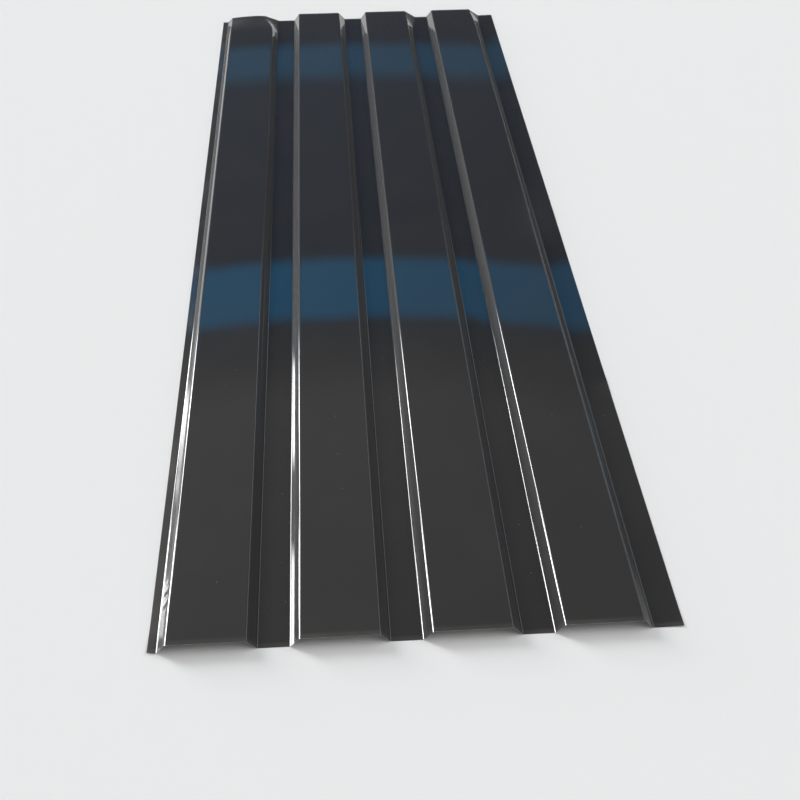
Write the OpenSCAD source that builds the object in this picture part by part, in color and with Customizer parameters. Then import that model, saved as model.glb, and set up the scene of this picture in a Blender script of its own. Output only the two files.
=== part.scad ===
// Corrugated metal sheet: one roll-formed sheet of painted steel with wide raised crowns,
// narrow valleys and a flat side lap along each edge. X runs across the corrugations, Y along
// them and Z up. The origin is under the middle of the sheet, at the level of its valleys.

/* [Sheet] */
// Length of the sheet, along its corrugations
sheet_length = 2440; // [600:10:6000]
// Thickness of the painted steel
sheet_thickness = 0.5; // [0.3:0.05:1.2]

/* [Corrugation] */
// Number of raised crowns across the sheet
crown_count = 4; // [2:1:8]
// Distance from one crown to the next
pitch = 225; // [190:1:300]
// Width of a crown between the corners where its webs turn down
crown_width = 136; // [60:1:140]
// Sideways run of one sloping web
web_run = 16.5; // [6:0.5:24]
// Rise from a valley to a crown
crown_rise = 22.5; // [8:0.5:45]
// Radius on the inside of each bend
bend_radius = 4.5; // [1:0.25:6]

/* [Side laps] */
// Width of the short lap, which lies over the next sheet's wide lap
short_lap = 15.5; // [8:0.5:30]
// Width of the wide lap, which lies under the next sheet's short lap
wide_lap = 53.5; // [12:0.5:80]

/* [Hidden] */
paint_black = "#1b1b1d";
// Flat strips that stand for one rounded bend
bend_strips = 6;
// Radius of a bend at the middle of the sheet's thickness
middle_radius = bend_radius + sheet_thickness / 2;
web_angle = atan2(crown_rise, web_run);
sheet_width = short_lap + (crown_count - 1) * pitch + crown_width + 2 * web_run + wide_lap;
// Heights of the sheet's middle surface in a valley and on a crown
valley_level = sheet_thickness / 2;
crown_level = valley_level + crown_rise;

// Left foot of crown number i, counted from zero, where its rising web starts
function crown_foot(i) = short_lap - sheet_width / 2 + i * pitch;

// Bends of the middle surface from left to right, each as [corner, sense, angle at its start].
// A sense of 1 turns upwards and -1 downwards.
bends = [
    for (i = [0 : crown_count - 1])
        let (left = crown_foot(i), right = left + 2 * web_run + crown_width)
        each [
            [[left, valley_level], 1, 0],
            [[left + web_run, crown_level], -1, web_angle],
            [[right - web_run, crown_level], -1, 0],
            [[right, valley_level], 1, -web_angle]
        ]
];

// Points along one bend, on the upper face of the sheet (side 1) or the lower one (side -1).
// The arc's centre lies on the line that halves the corner, on the side it turns towards.
function bend_arc(corner, sense, start, side) =
    let (
        halfway = start + sense * web_angle / 2,
        to_centre = sense * middle_radius / cos(web_angle / 2),
        centre = corner + to_centre * [-sin(halfway), cos(halfway)],
        radius = middle_radius - sense * side * sheet_thickness / 2
    )
    [
        for (strip = [0 : bend_strips])
            let (heading = start + sense * web_angle * strip / bend_strips)
            centre + sense * radius * [sin(heading), -cos(heading)]
    ];

// One whole face of the section, from the short lap's edge to the wide lap's edge
function section_face(side) = [
    [-sheet_width / 2, valley_level + side * sheet_thickness / 2],
    for (bend = bends) each bend_arc(bend[0], bend[1], bend[2], side),
    [sheet_width / 2, valley_level + side * sheet_thickness / 2]
];

function reversed(points) = [for (i = [len(points) - 1 : -1 : 0]) points[i]];

// The rolled section: out along the lower face and back along the upper one
module rolled_section() {
    polygon(concat(section_face(-1), reversed(section_face(1))));
}

module corrugated_sheet() {
    color(paint_black)
        rotate([90, 0, 0])
            linear_extrude(height = sheet_length, center = true)
                rolled_section();
}

corrugated_sheet();
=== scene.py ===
# %% [markdown]
# # A corrugated metal sheet
#
# The object is one sheet of steel. It was painted gloss black as a flat coil, then rolled into wide
# flat crowns and narrow valleys, and cut to length. The solid model has that section at its real
# size. It is loaded first, and everything here is built in its frame, in metres: X across the
# corrugations, Y along them and Z up.

# %% Load the frame
import math
import random

import bmesh
import bpy
from mathutils import Matrix, Vector


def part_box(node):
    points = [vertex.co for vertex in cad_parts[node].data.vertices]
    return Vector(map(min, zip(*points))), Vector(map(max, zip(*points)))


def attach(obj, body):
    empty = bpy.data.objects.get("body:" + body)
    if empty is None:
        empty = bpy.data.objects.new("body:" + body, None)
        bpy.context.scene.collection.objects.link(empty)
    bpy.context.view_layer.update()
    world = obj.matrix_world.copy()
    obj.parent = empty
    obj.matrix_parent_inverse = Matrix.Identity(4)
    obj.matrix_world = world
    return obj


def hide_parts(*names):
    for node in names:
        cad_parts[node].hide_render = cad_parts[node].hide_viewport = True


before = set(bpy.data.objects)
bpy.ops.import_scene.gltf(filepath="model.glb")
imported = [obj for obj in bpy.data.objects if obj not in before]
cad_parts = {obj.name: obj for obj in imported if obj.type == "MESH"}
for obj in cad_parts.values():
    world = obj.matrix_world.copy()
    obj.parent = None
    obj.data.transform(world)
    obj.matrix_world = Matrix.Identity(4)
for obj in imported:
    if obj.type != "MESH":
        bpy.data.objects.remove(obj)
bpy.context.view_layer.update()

SHEET_NODE = "corrugated_sheet"
low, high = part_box(SHEET_NODE)
print("sheet box", [round(v, 4) for v in low], [round(v, 4) for v in high])

# %% [markdown]
# ## The section
#
# Only a few sizes are needed to draw the section again. The overall width, length and height come
# from the frame, so the wide lap is simply what is left over on the right. The corners listed here
# are those of the painted upper face. It lies half a thickness above the middle of the sheet, which
# makes each crown a hair wider and each valley a hair narrower than on the middle line.

# %% Sizes of the section
THICKNESS = 0.0005
CROWN_COUNT = 4
PITCH = 0.225
CROWN_WIDTH = 0.136
WEB_RUN = 0.0165
SHORT_LAP = 0.0155
INSIDE_RADIUS = 0.0045

front, back = low.y, high.y
valley_top = low.z + THICKNESS
crown_top = high.z
web_rise = crown_top - valley_top
web_angle = math.atan2(web_rise, WEB_RUN)
face_shift = THICKNESS / 2 * math.tan(web_angle / 2)

feet = [low.x + SHORT_LAP + number * PITCH for number in range(CROWN_COUNT)]
far_feet = [foot + 2 * WEB_RUN + CROWN_WIDTH for foot in feet]
corners = [(low.x, valley_top)]
for foot, far_foot in zip(feet, far_feet):
    corners += [
        (foot - face_shift, valley_top),
        (foot + WEB_RUN - face_shift, crown_top),
        (far_foot - WEB_RUN + face_shift, crown_top),
        (far_foot + face_shift, valley_top),
    ]
corners.append((high.x, valley_top))
print("wide lap", round(high.x - far_feet[-1], 4), "web angle", round(math.degrees(web_angle), 1))

# %% [markdown]
# ## The painted face
#
# A rolled sheet is a line pushed along its length, so the mesh starts as a row of corner points
# joined by edges, which one extrusion turns into flat strips. A bevel then rounds each fold. Crown
# folds show the outside of the bend and valley folds the inside, so the two sets get different
# radii. A bevel is asked for the distance from the corner to where the arc starts, which is the
# radius times the tangent of half the turn.

# %% Extrude the corners and round the folds
FOLD_SEGMENTS = 6


def is_vertex(part):
    return isinstance(part, bmesh.types.BMVert)


def arc_start(radius):
    """Distance from a fold's sharp corner to the start of its arc."""
    return radius * math.tan(web_angle / 2)


def folds_at(mesh, level):
    """The inner edges that run along the sheet at one height."""
    return [
        edge for edge in mesh.edges
        if len(edge.link_faces) == 2 and abs(edge.verts[0].co.z - level) < THICKNESS
    ]


face = bmesh.new()
start_row = [face.verts.new((x, front, z)) for x, z in corners]
for one, other in zip(start_row, start_row[1:]):
    face.edges.new((one, other))
pushed = bmesh.ops.extrude_edge_only(face, edges=face.edges[:])
bmesh.ops.translate(face, vec=(0, back - front, 0), verts=list(filter(is_vertex, pushed["geom"])))
bmesh.ops.recalc_face_normals(face, faces=face.faces[:])
if face.faces[:][0].normal.z < 0:
    bmesh.ops.reverse_faces(face, faces=face.faces[:])

crown_arc = arc_start(INSIDE_RADIUS + THICKNESS)
valley_arc = arc_start(INSIDE_RADIUS)
for level, distance in ((crown_top, crown_arc), (valley_top, valley_arc)):
    bmesh.ops.bevel(
        face, geom=folds_at(face, level), offset=distance, offset_type="OFFSET",
        affect="EDGES", segments=FOLD_SEGMENTS, profile=0.5, material=-1,
    )
print("rounded strips", len(face.faces))

# %% [markdown]
# ## Columns and rows
#
# Thin sheet is never quite flat, and a gloss finish shows it, so the strips need points to move.
# Vertical planes cut the columns. One lies close beside each fold, because smooth shading spreads a
# fold's tilt as far as the next column, and without that cut every fold would look wide and soft.
# Rows are even along the sheet, and closer together near the ends, where the sheet has been handled.

# %% Cut columns and rows
FOLD_GUARD = 0.0009
WEB_GUARD = 0.0006
COLUMN_WIDTH = 0.015
WEB_COLUMN = 0.004
ROW_COUNT = 120
END_ZONE = 0.2
END_CUTS = 2


def column_places(start, end, width):
    """Even places from start to end, both included."""
    count = max(1, round((end - start) / width))
    return [start + (end - start) * step / count for step in range(count + 1)]


def long_edges(mesh, zone_start, zone_end):
    """Edges along the sheet that lie between two places on Y."""
    chosen = []
    for edge in mesh.edges:
        ends = sorted(vertex.co.y for vertex in edge.verts)
        if ends[1] - ends[0] > THICKNESS and ends[0] >= zone_start and ends[1] <= zone_end:
            chosen.append(edge)
    return chosen


places = []
for (x, z), (next_x, next_z) in zip(corners, corners[1:]):
    arcs = [crown_arc if level == crown_top else valley_arc for level in (z, next_z)]
    if z == next_z:
        guards, width = [arc + FOLD_GUARD for arc in arcs], COLUMN_WIDTH
    else:
        guards, width = [arc * math.cos(web_angle) + WEB_GUARD for arc in arcs], WEB_COLUMN
    places += column_places(x + guards[0], next_x - guards[1], width)
for x in places:
    parts = face.verts[:] + face.edges[:] + face.faces[:]
    bmesh.ops.bisect_plane(face, geom=parts, plane_co=(x, 0, 0), plane_no=(1, 0, 0))

slack = THICKNESS
every_row = long_edges(face, front - slack, back + slack)
bmesh.ops.subdivide_edges(face, edges=every_row, cuts=ROW_COUNT - 1, use_grid_fill=True)
for zone in ((front - slack, front + END_ZONE), (back - END_ZONE, back + slack)):
    bmesh.ops.subdivide_edges(face, edges=long_edges(face, *zone), cuts=END_CUTS, use_grid_fill=True)
print("columns", len(places), "faces", len(face.faces))

# %% [markdown]
# ## What handling did to it
#
# A black gloss sheet is a mirror, so small faults carry the realism. The flats ripple by about a
# tenth of a millimetre between the folds that hold them straight, and the free edges of the laps wave.
# The far ends of some webs have been pressed open, the front corners of the laps are lifted, the first
# web has two small dents and the wide lap's edge a nick. They could be sculpted by hand, but each is a
# short rule here that moves a point, with its size and place named, so it is easy to change.

# %% Ripple the flats and the lap edges
RIPPLES = ((1.15, 0.55), (0.64, 0.3), (0.37, 0.15))
CROWN_RIPPLE = 0.00012
VALLEY_RIPPLE = 0.00010
LAP_WAVE = 0.0007
SHORT_LAP_WAVE = LAP_WAVE / 4
RIPPLE_SEED = 11

chance = random.Random(RIPPLE_SEED)
flats = [
    (x, next_x, z, [chance.uniform(0, math.tau) for _ in RIPPLES])
    for (x, z), (next_x, next_z) in zip(corners, corners[1:]) if z == next_z
]


def ripple(phases, y):
    """A slow wave along the sheet, from -1 to 1."""
    return sum(
        share * math.sin(math.tau * y / length + phase)
        for (length, share), phase in zip(RIPPLES, phases)
    )


for vertex in face.verts:
    x, y, z = vertex.co
    for start, end, level, phases in flats:
        if not start <= x <= end:
            continue
        across = (x - start) / (end - start)
        wave = ripple(phases, y)
        if level == crown_top:
            vertex.co.z += CROWN_RIPPLE * math.sin(math.pi * across) ** 2 * wave
        elif start == low.x:
            vertex.co.z += SHORT_LAP_WAVE * (1 - across) ** 2 * (1 + wave) / 2
        elif end == high.x:
            vertex.co.z += LAP_WAVE * across ** 2 * (1 + wave) / 2
        else:
            vertex.co.z += VALLEY_RIPPLE * math.sin(math.pi * across) ** 2 * (1 + wave)
print("flats rippled", len(flats))

# %% Open the far ends of the right-hand webs
END_REACH = 0.15
# How far each crown's corner moves back and its web's foot moves out, from left to right
OPENED_WEBS = ((0.026, 0.004), (0.003, 0.002), (0.003, 0.017), (0.009, 0.008))
# How far the first crown's two edges sag where it was pressed
FIRST_SAG = (0.008, 0.004)
# Part of the next valley over which the move of a web's foot fades out
FADE_SHARE = 0.8


def ease(value):
    """A smooth step from 0 to 1."""
    value = min(1, max(0, value))
    return value * value * (3 - 2 * value)


def ramp(value, start, end):
    """How far a value has come from start to end, held between 0 and 1."""
    return min(1, max(0, (value - start) / (end - start)))


for vertex in face.verts:
    pressed = ease((vertex.co.y - (back - END_REACH)) / END_REACH) ** 2
    if pressed == 0:
        continue
    x, height = vertex.co.x, ramp(vertex.co.z, valley_top, crown_top)
    for number, (corner_back, foot_out) in enumerate(OPENED_WEBS):
        foot = far_feet[number]
        corner = foot - WEB_RUN
        middle = corner - CROWN_WIDTH / 2
        rest = foot + (PITCH - CROWN_WIDTH - 2 * WEB_RUN) * FADE_SHARE
        if middle < x <= corner:
            vertex.co.x -= pressed * corner_back * ramp(x, middle, corner)
        elif corner < x <= foot:
            part = ramp(x, corner, foot)
            vertex.co.x += pressed * (foot_out * part - corner_back * (1 - part))
        elif foot < x < rest:
            vertex.co.x += pressed * foot_out * (1 - ramp(x, foot, rest))
    if feet[0] < x < far_feet[0]:
        across = ramp(x, feet[0] + WEB_RUN, far_feet[0] - WEB_RUN)
        sag = FIRST_SAG[0] * (1 - across) ** 2 + FIRST_SAG[1] * across ** 2
        vertex.co.z -= pressed * height * sag
print("webs opened", len(OPENED_WEBS))

# %% Lift the front corners and dent the first web and the wide lap
CORNER_REACH = 0.07
SHORT_CORNER_LIFT = 0.0035
WIDE_CORNER_LIFT = 0.0015
# Place along the first web, measured from the front end, with the depth of each dent
WEB_DENTS = ((0.121, 0.0015), (0.094, 0.0012))
DENT_LENGTH = 0.006
DENT_SLANT = 0.6
NICK_FROM_FRONT = 0.602
NICK_LENGTH = 0.014
NICK_LIFT = 0.0016


def bell(value, width):
    """A bump that fades to nothing on both sides."""
    return math.exp(-(value / width) ** 2)


web_inward = Vector((math.sin(web_angle), 0, -math.cos(web_angle)))
for vertex in face.verts:
    x, y, z = vertex.co
    near_front = (1 - ramp(y, front, front + CORNER_REACH)) ** 2
    if x < feet[0]:
        vertex.co.z += SHORT_CORNER_LIFT * near_front * (1 - ramp(x, low.x, feet[0]))
    if x > far_feet[-1]:
        outward = ramp(x, far_feet[-1], high.x)
        vertex.co.z += WIDE_CORNER_LIFT * near_front * outward ** 2
        vertex.co.z += NICK_LIFT * bell(y - front - NICK_FROM_FRONT, NICK_LENGTH) * outward ** 4
    if feet[0] < x < feet[0] + WEB_RUN:
        up_web = ramp(x, feet[0], feet[0] + WEB_RUN)
        for place, depth in WEB_DENTS:
            along = y - front - place - DENT_SLANT * web_rise * (up_web - 0.5)
            push = depth * bell(along, DENT_LENGTH) * math.sin(math.pi * up_web) ** 2
            vertex.co += web_inward * push
print("dents", len(WEB_DENTS))

# %% [markdown]
# ## Thickness and the three finishes
#
# The face so far has no thickness. Solidify adds the other face half a millimetre below it and closes
# the rim, and its normals are then turned outwards. Which way a face points tells the three surfaces
# apart: up is the painted face, down the underside, and level the cut rim, which shows bare steel.

# %% Give the sheet its thickness
PAINT, BACK_COAT, CUT_EDGE = range(3)
LEVEL_TILT = 0.2
SHARP_ANGLE = math.radians(35)

bmesh.ops.solidify(face, geom=face.faces[:], thickness=THICKNESS)
bmesh.ops.recalc_face_normals(face, faces=face.faces[:])
for polygon in face.faces:
    polygon.smooth = True
    if abs(polygon.normal.z) < LEVEL_TILT:
        polygon.material_index = CUT_EDGE
    else:
        polygon.material_index = PAINT if polygon.normal.z > 0 else BACK_COAT

sheet_mesh = bpy.data.meshes.new("rolled_sheet")
face.to_mesh(sheet_mesh)
face.free()
sheet_mesh.set_sharp_from_angle(angle=SHARP_ANGLE)
sheet = bpy.data.objects.new("rolled_sheet", sheet_mesh)
bpy.context.scene.collection.objects.link(sheet)
counts = [sum(p.material_index == slot for p in sheet_mesh.polygons) for slot in range(3)]
print("faces of paint, back coat and cut edge", counts)

# %% [markdown]
# ## Writing shaders as sums
#
# A node tree is easier to read as arithmetic. `Wire` holds one socket, and adding or multiplying
# wires adds Math nodes. Every other node comes from `Tree.node`, which takes the node's type, its
# settings and what goes into its sockets, and gives back a wire.

# %% A wire and a tree


class Wire:
    """One shader socket that Python can do sums with."""

    def __init__(self, tree, socket):
        self.tree = tree
        self.socket = socket

    def sum(self, operation, first, second):
        return self.tree.node("ShaderNodeMath", {"operation": operation}, {0: first, 1: second})

    def __add__(self, other):
        return self.sum("ADD", self, other)

    def __radd__(self, other):
        return self.sum("ADD", other, self)

    def __sub__(self, other):
        return self.sum("SUBTRACT", self, other)

    def __rsub__(self, other):
        return self.sum("SUBTRACT", other, self)

    def __mul__(self, other):
        return self.sum("MULTIPLY", self, other)

    def __rmul__(self, other):
        return self.sum("MULTIPLY", other, self)

    def __truediv__(self, other):
        return self.sum("DIVIDE", self, other)

    def __rtruediv__(self, other):
        return self.sum("DIVIDE", other, self)

    def __pow__(self, other):
        return self.sum("POWER", self, other)

    def __gt__(self, other):
        return self.sum("GREATER_THAN", self, other)

    def __lt__(self, other):
        return self.sum("LESS_THAN", self, other)


class Tree:
    """A node tree to which nodes are added by type, settings and sockets."""

    def __init__(self, node_tree):
        self.node_tree = node_tree
        node_tree.nodes.clear()

    def node(self, kind, settings, sockets, output=0):
        made = self.node_tree.nodes.new(kind)
        for name, value in settings.items():
            if name == "stops":
                self.fill_ramp(made.color_ramp, value)
            else:
                setattr(made, name, value)
        for key, value in sockets.items():
            if isinstance(value, Wire):
                self.node_tree.links.new(value.socket, made.inputs[key])
            else:
                made.inputs[key].default_value = value
        return Wire(self, made.outputs[output]) if made.outputs else None

    @staticmethod
    def fill_ramp(ramp_data, stops):
        while len(ramp_data.elements) < len(stops):
            ramp_data.elements.new(1)
        for element, (place, colour) in zip(ramp_data.elements, stops):
            element.position = place
            element.color = (*colour, 1)


def new_finish(name):
    """A material with an empty tree."""
    material = bpy.data.materials.new(name)
    material.use_nodes = True
    return material, Tree(material.node_tree)


print("shader sums ready")

# %% [markdown]
# ## Gloss black paint
#
# Coil paint is a sharp clear gloss over a black that is slightly hazy in itself, and the shader has the
# same two layers: a hazy base and a coat. A plain black mirror would look like plastic. On the real
# sheet the haze drifts where it was wiped, the rolls leave faint lines along it, and a very fine orange
# peel disturbs the reflections. All of it reads Object coordinates, which are metres here, so a noise
# scale of 420 means about 420 features in a metre.

# %% Patterns to build on


def stretched(tree, point, scale):
    """Object coordinates scaled differently along each axis."""
    return tree.node("ShaderNodeMapping", {}, {"Vector": point, "Scale": scale})


def noise(tree, point, scale, detail=2.0):
    """Soft random clouds around 0.5."""
    sockets = {"Vector": point, "Scale": scale, "Detail": detail}
    return tree.node("ShaderNodeTexNoise", {"noise_dimensions": "3D"}, sockets)


def between(tree, value, low_edge, high_edge):
    """0 below the low edge, 1 above the high edge and smooth between them."""
    settings = {"interpolation_type": "SMOOTHSTEP"}
    sockets = {"Value": value, "From Min": low_edge, "From Max": high_edge}
    return tree.node("ShaderNodeMapRange", settings, sockets)


def separate(tree, point):
    """The three parts of a vector or colour."""
    return [
        tree.node("ShaderNodeSeparateXYZ", {}, {"Vector": point}, output=axis) for axis in range(3)
    ]


def graded(amounts, pattern):
    """A least amount and what a pattern adds to it."""
    least, extra = amounts
    return least + pattern * extra


HANDLING_SCALE = 4.5
ROLL_STRETCH = (240, 0.8, 40)
PEEL_SCALE = 420

paint, tree = new_finish("gloss_black_paint")
point = tree.node("ShaderNodeTexCoord", {}, {}, output="Object")
x, y, z = separate(tree, point)
handling = noise(tree, point, HANDLING_SCALE, detail=4.0)
roll_lines = noise(tree, stretched(tree, point, ROLL_STRETCH), 1.0, detail=3.0)
orange_peel = noise(tree, point, PEEL_SCALE, detail=1.0)
print("pattern nodes", len(paint.node_tree.nodes))

# %% [markdown]
# ## Dust, a scratch and worn places
#
# Pale dust lies thinly in patches, with a few larger specks, and one crown has a hairline scratch. The
# coat is also rubbed a little on the crowns. The webs are paler from rubbing and from painted sheen, the
# left lap from dust and painted sheen, most of all near the front, and the two cut ends from a scuff and
# a painted edge highlight. An image could hold these marks, but masks stay sharp at any distance. Each
# is a number that says how much of the pale colour shows, painted sheen included.

# %% Dust and specks
PATCH_SCALE, PATCH_EDGES = 7, (0.42, 0.75)
GRAIN_SCALE, GRAIN_EDGES = 1300, (0.55, 0.75)
GRAIN_DUST = 0.03
FILM_DUST = 0.004
# Cells in a metre, a speck's largest radius in cells, and the chance that a cell needs to hold one
SPECK_CELLS = 9.0
SPECK_RADIUS = 0.009
SPECK_CHANCE = 0.8

dust_patches = between(tree, noise(tree, point, PATCH_SCALE, detail=5.0), *PATCH_EDGES)
dust_grains = between(tree, noise(tree, point, GRAIN_SCALE, detail=1.0), *GRAIN_EDGES)
dust = dust_patches * dust_grains * GRAIN_DUST + dust_patches * FILM_DUST

on_plan = tree.node("ShaderNodeCombineXYZ", {}, {"X": x, "Y": y})
speck_settings = {"voronoi_dimensions": "2D", "feature": "F1"}
speck_sockets = {"Vector": on_plan, "Scale": SPECK_CELLS}
speck_gap = tree.node("ShaderNodeTexVoronoi", speck_settings, speck_sockets, output="Distance")
speck_colour = tree.node("ShaderNodeTexVoronoi", speck_settings, speck_sockets, output="Color")
speck_size = separate(tree, speck_colour)[0]
specks = (speck_gap < SPECK_RADIUS * speck_size) * (speck_size > SPECK_CHANCE)
print("dust nodes", len(paint.node_tree.nodes))

# %% A hairline scratch
SCRATCHES = (((0.232, 0.085), (0.286, 0.012)), ((0.286, 0.012), (0.279, 0.062)))
# Distances from each line at which it starts to fade and is gone
SCRATCH_FADES = ((0.0002, 0.0009), (0.0002, 0.0008))
# Noise that breaks the lines up
BREAK_SCALE, BREAK_EDGES = 60, (0.35, 0.6)


def segment_distance(tree, x, y, start, end):
    """Distance on plan from a point to a straight scratch."""
    run = (end[0] - start[0], end[1] - start[1])
    length = math.hypot(*run)
    along = ((x - start[0]) * (run[0] / length) + (y - start[1]) * (run[1] / length)) / length
    along = tree.node("ShaderNodeClamp", {}, {"Value": along})
    gap_x = x - (along * run[0] + start[0])
    gap_y = y - (along * run[1] + start[1])
    return (gap_x * gap_x + gap_y * gap_y) ** 0.5


scratch = 0
for (start, end), fade in zip(SCRATCHES, SCRATCH_FADES):
    scratch = scratch + (1 - between(tree, segment_distance(tree, x, y, start, end), *fade))
scratch = scratch * between(tree, noise(tree, point, BREAK_SCALE), *BREAK_EDGES)
print("scratch lines", len(SCRATCHES))

# %% Worn places and painted sheen
# Heights over which a web starts and a crown begins
WEB_FOOT = (0.001, 0.006)
CROWN_EDGE = (0.018, 0.022)
# Distances from a cut end over which its scuff fades
END_BAND = (0.005, 0.011)
LAP_FADE = 0.004
FRONT_SHARE = 0.25
# The least wear or painted sheen, and what handling or dust patches add to it
CROWN_WEAR = (0.010, 0.010)
WEB_RUB_AND_SHEEN = (0.03, 0.03)
END_SCUFF_AND_HIGHLIGHT = (0.05, 0.05)
LAP_DUST_AND_SHEEN = (0.07, 0.13)
FRONT_DUST_AND_SHEEN = 0.08

on_crown = between(tree, z, *CROWN_EDGE)
on_web = between(tree, z, *WEB_FOOT) * (1 - on_crown)
on_lap = 1 - between(tree, x, feet[0] - LAP_FADE, feet[0])
to_front = 1 - between(tree, y, front, front * FRONT_SHARE)
end_gap = tree.node("ShaderNodeMath", {"operation": "MINIMUM"}, {0: y - front, 1: back - y})
at_end = 1 - between(tree, end_gap, *END_BAND)

crown_scuff = on_crown * graded(CROWN_WEAR, handling)
# Webs: rubbed paint plus painted sheen that lifts them
web_rub_and_sheen = on_web * graded(WEB_RUB_AND_SHEEN, handling)
# Cut ends: a scuff plus a painted edge highlight
end_scuff_and_highlight = at_end * graded(END_SCUFF_AND_HIGHLIGHT, dust_patches)
# Left lap: dust plus painted sheen, strongest near the front
lap_dust_and_sheen = on_lap * (graded(LAP_DUST_AND_SHEEN, dust_patches) + to_front * FRONT_DUST_AND_SHEEN)
print("worn nodes", len(paint.node_tree.nodes))

# %% [markdown]
# ## The paint's two layers
#
# The patterns now come together. The marks mix dust, wear and painted sheen into the black, roughen the
# hazy base and take away some of the clear coat. The bumps are only a few thousandths of a millimetre
# deep, which is enough to soften a mirror without making it look hammered.

# %% Paint
BLACK = (0.0140, 0.0138, 0.0140, 1)
# Pale colour for dust and wear, and for the painted sheen on webs, left lap and cut ends
DUST_AND_SHEEN = (0.34, 0.32, 0.29, 1)
HAZE_ROUGHNESS = 0.39
HAZE_LEVEL = 0.15
GLOSS_ROUGHNESS = 0.03
GLOSS_IOR = 1.75
BUMP_DEPTH = 0.0000025
ROLL_BUMP = 0.6
SPECK_PALE, SCRATCH_PALE = 0.45, 0.10
ROUGHENED_BY = (
    (handling, 0.10), (roll_lines, 0.06), (dust_patches, 0.04), (specks, 0.4), (scratch, 0.1),
)
DULLED_BY = ((dust, 2), (lap_dust_and_sheen, 3), (specks, 1), (scratch, 0.4))


def mix_colour(tree, factor, first, second):
    """The first colour where the factor is 0 and the second where it is 1."""
    settings = {"data_type": "RGBA"}
    sockets = {"Factor": factor, 6: first, 7: second}
    return tree.node("ShaderNodeMix", settings, sockets, output=2)


def bumped(tree, height, depth):
    """A normal that follows small bumps of a given depth in metres."""
    return tree.node("ShaderNodeBump", {}, {"Height": height, "Distance": depth, "Strength": 1.0})


# Dust and wear, with the painted sheen on the webs, the left lap and the cut ends
pale = dust + crown_scuff + web_rub_and_sheen + lap_dust_and_sheen + end_scuff_and_highlight
pale = pale + specks * SPECK_PALE + scratch * SCRATCH_PALE
surface = tree.node("ShaderNodeBsdfPrincipled", {}, {
    "Base Color": mix_colour(tree, pale, BLACK, DUST_AND_SHEEN),
    "Roughness": HAZE_ROUGHNESS + sum(pattern * amount for pattern, amount in ROUGHENED_BY),
    "Specular IOR Level": HAZE_LEVEL,
    "Normal": bumped(tree, orange_peel + roll_lines * ROLL_BUMP, BUMP_DEPTH),
    "Coat Weight": 1 - sum(pattern * amount for pattern, amount in DULLED_BY),
    "Coat Roughness": GLOSS_ROUGHNESS,
    "Coat IOR": GLOSS_IOR,
})
tree.node("ShaderNodeOutputMaterial", {}, {"Surface": surface})
print("paint nodes", len(paint.node_tree.nodes))

# %% [markdown]
# ## Back coat and cut edge
#
# The underside carries a thinner, duller coat of the same black, cloudy where it went on unevenly. The
# rim was sheared after painting, so it shows zinc-coated steel, darker where the cut tore. Both are thin
# seen from most sides, so one noise each for colour and roughness is enough.

# %% Back coat
BACK_BLACK = (0.020, 0.020, 0.021, 1)
BACK_GREY = (0.045, 0.044, 0.043, 1)
BACK_ROUGHNESS = (0.42, 0.16)
BACK_BUMP = 0.00001
CLOUD_SCALE, CLOUD_EDGES = 12, (0.35, 0.7)
COAT_GRAIN_SCALE = 700

back_coat, tree = new_finish("dull_back_coat")
point = tree.node("ShaderNodeTexCoord", {}, {}, output="Object")
cloudy = noise(tree, point, CLOUD_SCALE, detail=5.0)
surface = tree.node("ShaderNodeBsdfPrincipled", {}, {
    "Base Color": mix_colour(tree, between(tree, cloudy, *CLOUD_EDGES), BACK_BLACK, BACK_GREY),
    "Roughness": graded(BACK_ROUGHNESS, cloudy),
    "Normal": bumped(tree, noise(tree, point, COAT_GRAIN_SCALE), BACK_BUMP),
})
tree.node("ShaderNodeOutputMaterial", {}, {"Surface": surface})
print("back coat nodes", len(back_coat.node_tree.nodes))

# %% Cut edge
BRIGHT_STEEL = (0.62, 0.62, 0.61, 1)
TORN_STEEL = (0.30, 0.30, 0.30, 1)
EDGE_METAL = 0.8
EDGE_ROUGHNESS = (0.32, 0.2)
EDGE_BUMP = 0.00002
TORN_STRETCH, TORN_EDGES = (500, 500, 2600), (0.4, 0.6)

cut_edge, tree = new_finish("sheared_steel_edge")
point = tree.node("ShaderNodeTexCoord", {}, {}, output="Object")
torn = noise(tree, stretched(tree, point, TORN_STRETCH), 1.0, detail=3.0)
surface = tree.node("ShaderNodeBsdfPrincipled", {}, {
    "Base Color": mix_colour(tree, between(tree, torn, *TORN_EDGES), TORN_STEEL, BRIGHT_STEEL),
    "Metallic": EDGE_METAL,
    "Roughness": graded(EDGE_ROUGHNESS, torn),
    "Normal": bumped(tree, torn, EDGE_BUMP),
})
tree.node("ShaderNodeOutputMaterial", {}, {"Surface": surface})

for material in (paint, back_coat, cut_edge):
    sheet_mesh.materials.append(material)
print("finishes on the sheet", [material.name for material in sheet_mesh.materials])

# %% [markdown]
# ## Floor
#
# The sheet lies on a plain pale floor. One large square is enough, because nothing on it has a shape.

# %% Floor
FLOOR_HALF = 14.0
FLOOR_WHITE = (0.84, 0.84, 0.835, 1)
FLOOR_ROUGHNESS = 0.9

floor_shape = bmesh.new()
bmesh.ops.create_grid(floor_shape, x_segments=1, y_segments=1, size=FLOOR_HALF)
floor_mesh = bpy.data.meshes.new("floor")
floor_shape.to_mesh(floor_mesh)
floor_shape.free()
floor = bpy.data.objects.new("floor", floor_mesh)
bpy.context.scene.collection.objects.link(floor)

floor_finish, tree = new_finish("pale_floor")
surface = tree.node("ShaderNodeBsdfPrincipled", {}, {
    "Base Color": FLOOR_WHITE, "Roughness": FLOOR_ROUGHNESS, "Specular IOR Level": 0.0,
})
tree.node("ShaderNodeOutputMaterial", {}, {"Surface": surface})
floor_mesh.materials.append(floor_finish)
print("floor", 2 * FLOOR_HALF, "m")

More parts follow.
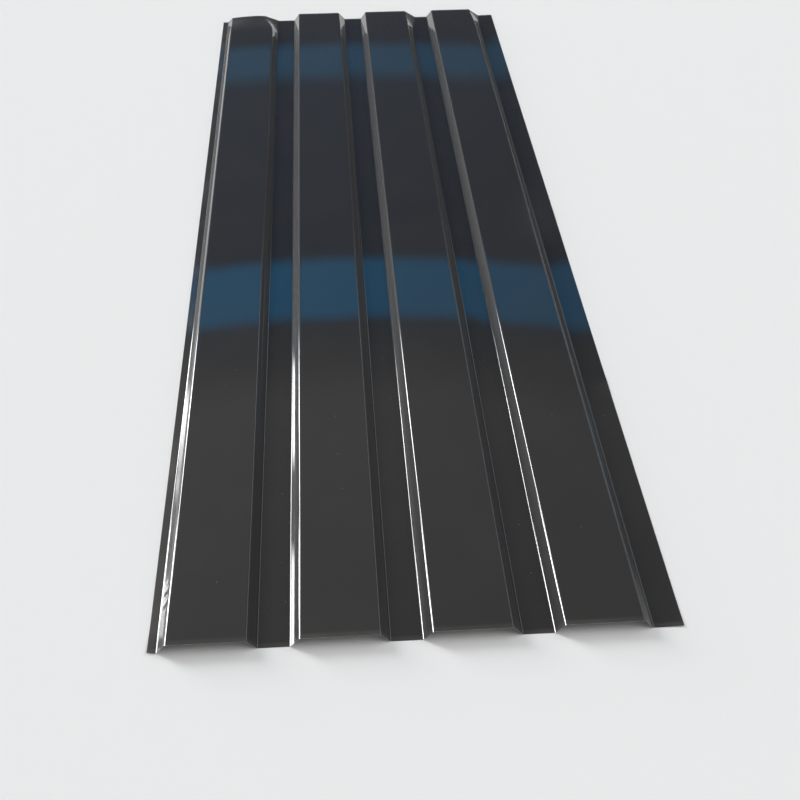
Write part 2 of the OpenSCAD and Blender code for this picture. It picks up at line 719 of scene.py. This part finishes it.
# %% [markdown]
# ## Studio sky
#
# Gloss black is seen almost only by what it reflects, so the light is what paints it. The sky is pale at
# the horizon, dim above it and a little brighter overhead. Straight ahead, in the part that the flats
# mirror towards the camera, it is darker, with two soft blue bands. A picture of a studio could do the
# same, but a ramp of a few named stops over the height is easier to read and to change.

# %% Studio sky
# Brightness by the sine of the height above the horizon, all round and straight ahead
ROUND_STOPS = (
    (0.00, (0.80, 0.80, 0.80)),
    (0.05, (0.58, 0.58, 0.58)),
    (0.12, (0.42, 0.42, 0.42)),
    (0.30, (0.25, 0.25, 0.255)),
    (0.55, (0.15, 0.15, 0.155)),
    (0.84, (0.26, 0.26, 0.26)),
    (0.92, (0.42, 0.415, 0.41)),
    (1.00, (0.42, 0.415, 0.41)),
)
AHEAD_STOPS = (
    (0.00, (0.60, 0.60, 0.60)),
    (0.14, (0.24, 0.25, 0.26)),
    (0.427, (0.052, 0.066, 0.10)),
    (0.432, (0.060, 0.24, 0.45)),
    (0.450, (0.060, 0.24, 0.45)),
    (0.460, (0.062, 0.085, 0.13)),
    (0.594, (0.055, 0.075, 0.12)),
    (0.602, (0.020, 0.40, 0.84)),
    (0.638, (0.020, 0.40, 0.84)),
    (0.645, (0.095, 0.115, 0.14)),
    (0.67, (0.16, 0.16, 0.165)),
    (0.70, (0.28, 0.275, 0.275)),
    (0.84, (0.25, 0.24, 0.23)),
    (0.92, (0.42, 0.415, 0.41)),
)
# What is left of the light from the left side and the middle (0 to 0.5) over to the right (1)
SIDE_STOPS = (
    (0.50, (1.0, 1.0, 1.0)),
    (0.57, (0.8, 0.8, 0.8)),
    (0.65, (0.55, 0.55, 0.55)),
    (0.80, (0.8, 0.8, 0.8)),
)
# How far forward a direction points where the part ahead starts, and where it is whole
AHEAD = (0.25, 0.45)

world = bpy.data.worlds.new("studio")
bpy.context.scene.world = world
world.use_nodes = True
tree = Tree(world.node_tree)
direction = tree.node("ShaderNodeTexCoord", {}, {}, output="Generated")
sideways, forward, height = separate(tree, direction)
round_sky = tree.node("ShaderNodeValToRGB", {"stops": ROUND_STOPS}, {"Fac": height})
ahead_sky = tree.node("ShaderNodeValToRGB", {"stops": AHEAD_STOPS}, {"Fac": height})
# A ramp reads from 0 to 1, and a direction's parts run from -1 to 1
side = tree.node("ShaderNodeValToRGB", {"stops": SIDE_STOPS}, {"Fac": sideways * 0.5 + 0.5})
sky = mix_colour(tree, between(tree, forward, *AHEAD), round_sky, ahead_sky)
sky = tree.node("ShaderNodeVectorMath", {"operation": "MULTIPLY"}, {0: sky, 1: side})
glow = tree.node("ShaderNodeBackground", {}, {"Color": sky})
tree.node("ShaderNodeOutputWorld", {}, {"Surface": glow})
print("sky stops", len(ROUND_STOPS), len(AHEAD_STOPS))

# %% [markdown]
# ## Soft boxes
#
# Two tall strips on the left are mirrored by the left-hand webs and their folds, and draw the white
# lines along them. A low bar on the right draws the fainter lines along the right-hand folds, and a
# large fill lights that side. Dim strips beside and behind let the gloss show from other sides. All
# stand far away, which lights the floor evenly and keeps each reflection's direction along the whole
# sheet. Light nodes fade their edges, because a hard edge would look cut out in the paint.

# %% Soft boxes
BOX_DISTANCE = 150.0
# Direction from +Y towards +X, height and spans in degrees, then brightness and the share of each
# span over which an edge fades
SOFT_BOXES = {
    "left_strip_box": (-53.9, 20, 5.2, 36, 32.0, 0.25),
    "far_strip_box": (-43.3, 20, 5.0, 36, 25.0, 0.25),
    "right_bar": (37.5, 34, 31, 6, 1.9, 0.3),
    "right_fill": (88, 46, 50, 40, 2.8, 0.3),
    "back_right_strip": (137, 24, 9, 30, 1.2, 0.35),
    "back_strip": (184, 26, 9, 30, 1.2, 0.35),
    "back_left_strip": (-133, 24, 9, 30, 1.2, 0.35),
    "side_left_strip": (-93, 26, 9, 30, 1.0, 0.35),
}


def box_side(span, soft):
    """Side of a box that spans an angle in degrees between the middles of its faded edges."""
    return 2 * BOX_DISTANCE * math.tan(math.radians(span) / 2) / (1 - soft)


def towards(across, above):
    """The direction at two angles in degrees, from +Y towards +X and above the floor."""
    across, above = math.radians(across), math.radians(above)
    level = Vector((math.sin(across), math.cos(across), 0)) * math.cos(above)
    return level + Vector((0, 0, math.sin(above)))


def fade_edges(lamp, soft):
    """Let a lamp's light fade towards its four edges."""
    lamp.use_nodes = True
    tree = Tree(lamp.node_tree)
    place = tree.node("ShaderNodeNewGeometry", {}, {}, output="Parametric")
    fade = 1.0
    for part in separate(tree, place)[:2]:
        fade = fade * between(tree, part, 0, soft) * between(tree, 1 - part, 0, soft)
    emission = tree.node("ShaderNodeEmission", {}, {"Color": fade, "Strength": 1.0})
    tree.node("ShaderNodeOutputLight", {}, {"Surface": emission})


for name, (across, above, width, tall, brightness, soft) in SOFT_BOXES.items():
    lamp = bpy.data.lights.new(name, "AREA")
    lamp.shape = "RECTANGLE"
    lamp.size, lamp.size_y = box_side(width, soft), box_side(tall, soft)
    lamp.energy = brightness * math.pi * lamp.size * lamp.size_y
    fade_edges(lamp, soft)
    soft_box = bpy.data.objects.new(name, lamp)
    away = towards(across, above)
    soft_box.location = away * BOX_DISTANCE
    soft_box.rotation_euler = (-away).to_track_quat("-Z", "Y").to_euler()
    soft_box.visible_camera = False
    bpy.context.scene.collection.objects.link(soft_box)
    print(name, "watts", round(lamp.energy))

# %% [markdown]
# ## Camera
#
# The camera stands at head height before the near end and looks down along the sheet. Its place, lens
# and angles were worked out from the sheet's corners in the picture. A new camera looks straight down,
# so it is rolled a little, tipped up, and then turned to its heading. In a product of matrices the last
# one acts first, so they are written the other way round. The small shift stands for the way the
# picture was cropped.

# %% Camera
LENS = 46.85
CAMERA_PLACE = Vector((-0.1154, -2.1976, 1.5359))
# Degrees from +Y towards +X, down from level, and round the line of sight
HEADING, TILT_DOWN, ROLL = 3.103, 42.687, -0.275
CROP_SHIFT = (0.0248, -0.0413)

camera_data = bpy.data.cameras.new("camera")
camera_data.lens = LENS
camera_data.shift_x, camera_data.shift_y = CROP_SHIFT
camera = bpy.data.objects.new("camera", camera_data)
rolled = Matrix.Rotation(math.radians(ROLL), 4, "Z")
tipped = Matrix.Rotation(math.radians(90 - TILT_DOWN), 4, "X")
turned = Matrix.Rotation(math.radians(-HEADING), 4, "Z")
camera.matrix_world = Matrix.Translation(CAMERA_PLACE) @ turned @ tipped @ rolled
bpy.context.scene.collection.objects.link(camera)
bpy.context.scene.camera = camera
bpy.context.scene.view_settings.view_transform = "Standard"
print("camera", [round(v, 3) for v in camera.location])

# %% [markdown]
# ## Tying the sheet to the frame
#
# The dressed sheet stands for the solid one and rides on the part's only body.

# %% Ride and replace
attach(sheet, "root")
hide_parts(SHEET_NODE)
